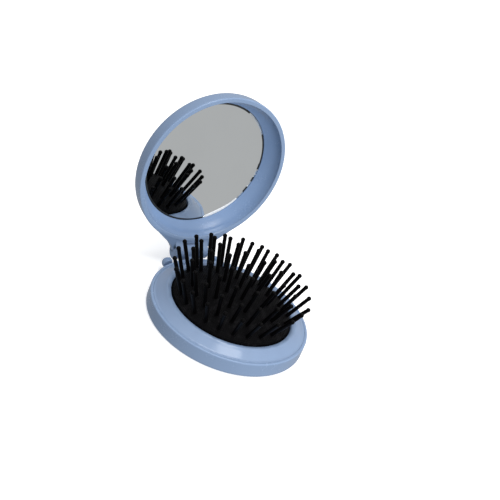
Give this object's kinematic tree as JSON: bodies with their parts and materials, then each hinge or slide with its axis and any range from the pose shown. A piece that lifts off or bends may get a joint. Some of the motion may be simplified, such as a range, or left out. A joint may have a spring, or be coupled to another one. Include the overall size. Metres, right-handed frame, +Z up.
{
  "type": "folding hairbrush with mirror",
  "caption": "Round folding hairbrush: a domed rubber pad with ball-tipped bristles in a base, and a hinged lid that holds a round mirror.",
  "frame": {"origin": "centre of the base's resting face, on the axis of the finger hole", "axes": "+Z up from the resting face, +Y from the base's centre towards the hinge, X along the hinge axis"},
  "size_m": [0.0704, 0.0923, 0.0819],
  "materials": {
    "shell": "satin moulded",
    "inner_plastic": "satin moulded",
    "pad": "fine woven texture",
    "bristle": "satin",
    "steel": "drawn",
    "mirror": "silvered glass",
    "tape": "foam"
  },
  "bodies": {
    "base": {"base_shell": "shell", "top_ring": "shell", "pad_clamp_ring": "inner_plastic", "cushion_pad": "pad"},
    "lid": {"lid_shell": "shell", "mirror_frame": "shell", "mirror_glass": "mirror", "mirror_tape": "tape", "hinge_pin": "steel"},
    "pad_core": {"push_plate": "inner_plastic", "bristle_center": "bristle", "bristles_row_1": "bristle"},
    "bristle_row_2": {"bristles_row_2": "bristle"},
    "bristle_row_3": {"bristles_row_3_left": "bristle", "bristles_row_3_right": "bristle"},
    "bristle_row_4_a": {"bristles_row_4_a": "bristle"},
    "bristle_row_4_b": {"bristles_row_4_b": "bristle"},
    "bristle_row_4_c": {"bristles_row_4_c": "bristle"},
    "bristle_row_4_d": {"bristles_row_4_d": "bristle"},
    "bristle_row_4_e": {"bristles_row_4_e": "bristle"},
    "bristle_row_4_f": {"bristles_row_4_f": "bristle"},
    "bristle_row_4_g": {"bristles_row_4_g": "bristle"},
    "bristle_row_4_h": {"bristles_row_4_h": "bristle"}
  },
  "joints": [
    {"name": "lid_hinge", "type": "hinge", "parent": "base", "child": "lid", "pos_m": [0, 0.0399, 0.0072], "axis": [1, 0, 0], "range_deg": [0, 95.3]},
    {"name": "pad_core_press", "type": "slide", "parent": "base", "child": "pad_core", "axis": [0, 0, -1], "range_m": [0, 0.01615], "deforming": ["cushion_pad"]},
    {"name": "row_2_press", "type": "slide", "parent": "base", "child": "bristle_row_2", "axis": [0, 0, -1], "range_m": [0, 0.01454]},
    {"name": "row_3_press", "type": "slide", "parent": "base", "child": "bristle_row_3", "axis": [0, 0, -1], "range_m": [0, 0.01212]},
    {"name": "row_4_a_press", "type": "slide", "parent": "base", "child": "bristle_row_4_a", "axis": [-0.1961, -0.0021, -0.9806], "range_m": [0, 0.00969]},
    {"name": "row_4_b_press", "type": "slide", "parent": "base", "child": "bristle_row_4_b", "axis": [-0.1372, -0.1401, -0.9806], "range_m": [0, 0.00969]},
    {"name": "row_4_c_press", "type": "slide", "parent": "base", "child": "bristle_row_4_c", "axis": [0.0021, -0.1961, -0.9806], "range_m": [0, 0.00969]},
    {"name": "row_4_d_press", "type": "slide", "parent": "base", "child": "bristle_row_4_d", "axis": [0.1401, -0.1372, -0.9806], "range_m": [0, 0.00969]},
    {"name": "row_4_e_press", "type": "slide", "parent": "base", "child": "bristle_row_4_e", "axis": [0.1961, 0.0021, -0.9806], "range_m": [0, 0.00969]},
    {"name": "row_4_f_press", "type": "slide", "parent": "base", "child": "bristle_row_4_f", "axis": [0.1372, 0.1401, -0.9806], "range_m": [0, 0.00969]},
    {"name": "row_4_g_press", "type": "slide", "parent": "base", "child": "bristle_row_4_g", "axis": [-0.0021, 0.1961, -0.9806], "range_m": [0, 0.00969]},
    {"name": "row_4_h_press", "type": "slide", "parent": "base", "child": "bristle_row_4_h", "axis": [-0.1401, 0.1372, -0.9806], "range_m": [0, 0.00969]}
  ],
  "couplings": [
    {"joint": "pad_core_press", "follows": "lid_hinge", "m_per_rad": 0.0097096},
    {"joint": "row_2_press", "follows": "lid_hinge", "m_per_rad": 0.0087417},
    {"joint": "row_3_press", "follows": "lid_hinge", "m_per_rad": 0.0072867},
    {"joint": "row_4_a_press", "follows": "lid_hinge", "m_per_rad": 0.0058246},
    {"joint": "row_4_b_press", "follows": "lid_hinge", "m_per_rad": 0.0058246},
    {"joint": "row_4_c_press", "follows": "lid_hinge", "m_per_rad": 0.0058246},
    {"joint": "row_4_d_press", "follows": "lid_hinge", "m_per_rad": 0.0058246},
    {"joint": "row_4_e_press", "follows": "lid_hinge", "m_per_rad": 0.0058246},
    {"joint": "row_4_f_press", "follows": "lid_hinge", "m_per_rad": 0.0058246},
    {"joint": "row_4_g_press", "follows": "lid_hinge", "m_per_rad": 0.0058246},
    {"joint": "row_4_h_press", "follows": "lid_hinge", "m_per_rad": 0.0058246}
  ]
}
